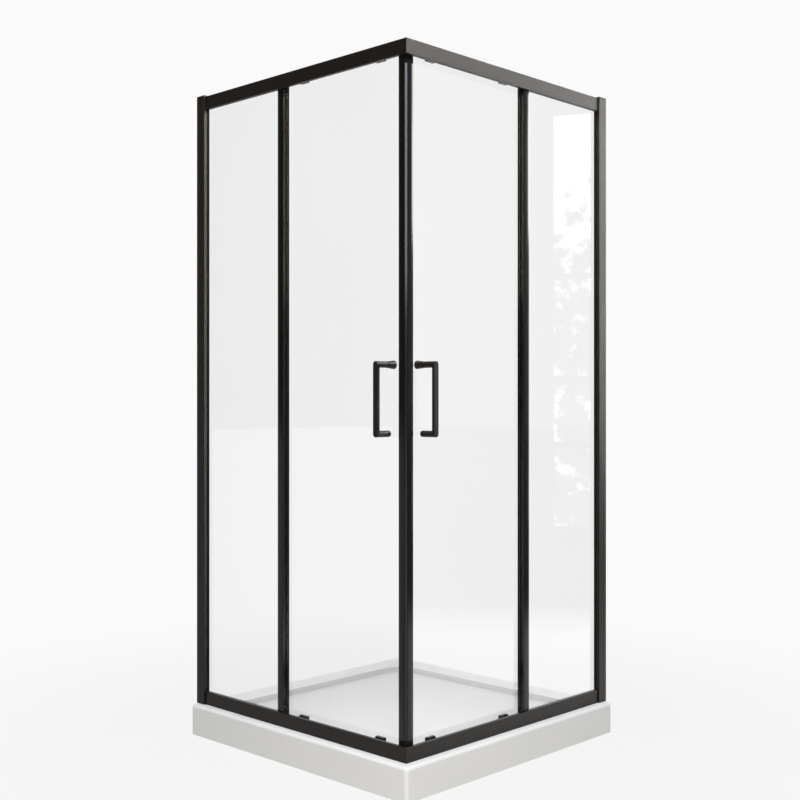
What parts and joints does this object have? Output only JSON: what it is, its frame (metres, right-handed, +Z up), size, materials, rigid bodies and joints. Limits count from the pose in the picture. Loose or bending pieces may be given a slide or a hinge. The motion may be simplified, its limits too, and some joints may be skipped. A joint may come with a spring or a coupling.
{
  "type": "corner entry shower enclosure",
  "caption": "Square corner shower enclosure: sliding glass doors meet at the entrance corner, fixed glass panels, black frame with roller rails, white tray.",
  "frame": {"origin": "centre of the tray's underside, on the floor", "axes": "+Z up; the entrance corner points to -X -Y; the room's walls stand at +X and +Y"},
  "size_m": [0.9, 0.9, 1.9256],
  "materials": {
    "white_acrylic": "gloss moulded",
    "chrome_plate": "polished",
    "grey_polypropylene": "moulded",
    "black_aluminium": "satin powder coat",
    "cleat_zinc": "cast",
    "black_moulding": "moulded",
    "carriage_moulding": "moulded",
    "screw_steel": "black zinc plate",
    "axle_steel": "stainless",
    "clear_glass": "clear toughened",
    "black_rubber": "extruded",
    "magnet_strip": "extruded",
    "black_handle": "satin powder coat",
    "wheel_nylon": "turned"
  },
  "bodies": {
    "enclosure": {"shower_tray": "white_acrylic", "waste_body": "grey_polypropylene", "corner_cleats": "cleat_zinc", "profile_caps": "black_moulding", "rail_end_caps": "black_moulding", "frame_screws": "screw_steel", "glazing_gaskets": "black_rubber", "splash_seals": "black_rubber", "door_stops": "black_rubber", "top_rail_left": "black_aluminium", "top_rail_right": "black_aluminium", "bottom_rail_left": "black_aluminium", "bottom_rail_right": "black_aluminium", "wall_profile_left": "black_aluminium", "wall_profile_right": "black_aluminium", "jamb_left": "black_aluminium", "jamb_right": "black_aluminium", "fixed_glass_left": "clear_glass", "fixed_glass_right": "clear_glass", "fixed_stile_left": "black_aluminium", "fixed_stile_right": "black_aluminium"},
    "waste_lid": {"waste_cover": "chrome_plate"},
    "door_left": {"door_glass_left": "clear_glass", "leading_stile_left": "black_aluminium", "trailing_stile_left": "black_aluminium", "stile_caps_left": "black_moulding", "magnetic_seal_left": "magnet_strip", "handle_bar_left": "black_handle", "handle_knob_left": "black_handle", "handle_nut_left": "black_handle", "top_roller_bodies_left": "black_moulding", "bottom_roller_bodies_left": "black_moulding", "top_axles_left": "axle_steel", "roller_screws_left": "screw_steel", "release_springs_left": "axle_steel"},
    "carriage_front_left": {"release_carriage_front_left": "carriage_moulding"},
    "top_roller_front_left": {"top_wheel_front_left": "wheel_nylon"},
    "bottom_roller_front_left": {"bottom_wheel_front_left": "wheel_nylon"},
    "carriage_rear_left": {"release_carriage_rear_left": "carriage_moulding"},
    "top_roller_rear_left": {"top_wheel_rear_left": "wheel_nylon"},
    "bottom_roller_rear_left": {"bottom_wheel_rear_left": "wheel_nylon"},
    "door_right": {"door_glass_right": "clear_glass", "leading_stile_right": "black_aluminium", "trailing_stile_right": "black_aluminium", "stile_caps_right": "black_moulding", "magnetic_seal_right": "magnet_strip", "handle_bar_right": "black_handle", "handle_knob_right": "black_handle", "handle_nut_right": "black_handle", "top_roller_bodies_right": "black_moulding", "bottom_roller_bodies_right": "black_moulding", "top_axles_right": "axle_steel", "roller_screws_right": "screw_steel", "release_springs_right": "axle_steel"},
    "carriage_front_right": {"release_carriage_front_right": "carriage_moulding"},
    "top_roller_front_right": {"top_wheel_front_right": "wheel_nylon"},
    "bottom_roller_front_right": {"bottom_wheel_front_right": "wheel_nylon"},
    "carriage_rear_right": {"release_carriage_rear_right": "carriage_moulding"},
    "top_roller_rear_right": {"top_wheel_rear_right": "wheel_nylon"},
    "bottom_roller_rear_right": {"bottom_wheel_rear_right": "wheel_nylon"}
  },
  "joints": [
    {"name": "waste_cover_lift", "type": "slide", "parent": "enclosure", "child": "waste_lid", "axis": [0, 0, 1], "range_m": [0, 0.06]},
    {"name": "door_left_slide", "type": "slide", "parent": "enclosure", "child": "door_left", "axis": [0, 1, 0], "range_m": [0, 0.315]},
    {"name": "release_front_left", "type": "slide", "parent": "door_left", "child": "carriage_front_left", "axis": [0, 0, -1], "range_m": [0, 0.0022], "stiffness_N_per_m": 600, "springref_m": -0.008, "deforming": ["release_springs_left"]},
    {"name": "top_spin_front_left", "type": "hinge", "parent": "door_left", "child": "top_roller_front_left", "pos_m": [-0.4027, -0.3, 1.9073], "axis": [-1, 0, 0], "range_deg": [0, 1806]},
    {"name": "bottom_spin_front_left", "type": "hinge", "parent": "carriage_front_left", "child": "bottom_roller_front_left", "pos_m": [-0.4027, -0.3, 0.1047], "axis": [1, 0, 0], "range_deg": [0, 1806]},
    {"name": "release_rear_left", "type": "slide", "parent": "door_left", "child": "carriage_rear_left", "axis": [0, 0, -1], "range_m": [0, 0.0022], "stiffness_N_per_m": 600, "springref_m": -0.008, "deforming": ["release_springs_left"]},
    {"name": "top_spin_rear_left", "type": "hinge", "parent": "door_left", "child": "top_roller_rear_left", "pos_m": [-0.4027, 0.001, 1.9073], "axis": [-1, 0, 0], "range_deg": [0, 1806]},
    {"name": "bottom_spin_rear_left", "type": "hinge", "parent": "carriage_rear_left", "child": "bottom_roller_rear_left", "pos_m": [-0.4027, 0.001, 0.1047], "axis": [1, 0, 0], "range_deg": [0, 1806]},
    {"name": "door_right_slide", "type": "slide", "parent": "enclosure", "child": "door_right", "axis": [1, 0, 0], "range_m": [0, 0.315]},
    {"name": "release_front_right", "type": "slide", "parent": "door_right", "child": "carriage_front_right", "axis": [0, 0, -1], "range_m": [0, 0.0022], "stiffness_N_per_m": 600, "springref_m": -0.008, "deforming": ["release_springs_right"]},
    {"name": "top_spin_front_right", "type": "hinge", "parent": "door_right", "child": "top_roller_front_right", "pos_m": [-0.3, -0.4027, 1.9073], "axis": [0, 1, 0], "range_deg": [0, 1806]},
    {"name": "bottom_spin_front_right", "type": "hinge", "parent": "carriage_front_right", "child": "bottom_roller_front_right", "pos_m": [-0.3, -0.4027, 0.1047], "axis": [0, -1, 0], "range_deg": [0, 1806]},
    {"name": "release_rear_right", "type": "slide", "parent": "door_right", "child": "carriage_rear_right", "axis": [0, 0, -1], "range_m": [0, 0.0022], "stiffness_N_per_m": 600, "springref_m": -0.008, "deforming": ["release_springs_right"]},
    {"name": "top_spin_rear_right", "type": "hinge", "parent": "door_right", "child": "top_roller_rear_right", "pos_m": [0.001, -0.4027, 1.9073], "axis": [0, 1, 0], "range_deg": [0, 1806]},
    {"name": "bottom_spin_rear_right", "type": "hinge", "parent": "carriage_rear_right", "child": "bottom_roller_rear_right", "pos_m": [0.001, -0.4027, 0.1047], "axis": [0, -1, 0], "range_deg": [0, 1806]}
  ],
  "couplings": [
    {"joint": "top_spin_front_left", "follows": "door_left_slide", "rad_per_m": 100},
    {"joint": "bottom_spin_front_left", "follows": "door_left_slide", "rad_per_m": 100},
    {"joint": "top_spin_rear_left", "follows": "door_left_slide", "rad_per_m": 100},
    {"joint": "bottom_spin_rear_left", "follows": "door_left_slide", "rad_per_m": 100},
    {"joint": "top_spin_front_right", "follows": "door_right_slide", "rad_per_m": 100},
    {"joint": "bottom_spin_front_right", "follows": "door_right_slide", "rad_per_m": 100},
    {"joint": "top_spin_rear_right", "follows": "door_right_slide", "rad_per_m": 100},
    {"joint": "bottom_spin_rear_right", "follows": "door_right_slide", "rad_per_m": 100}
  ]
}
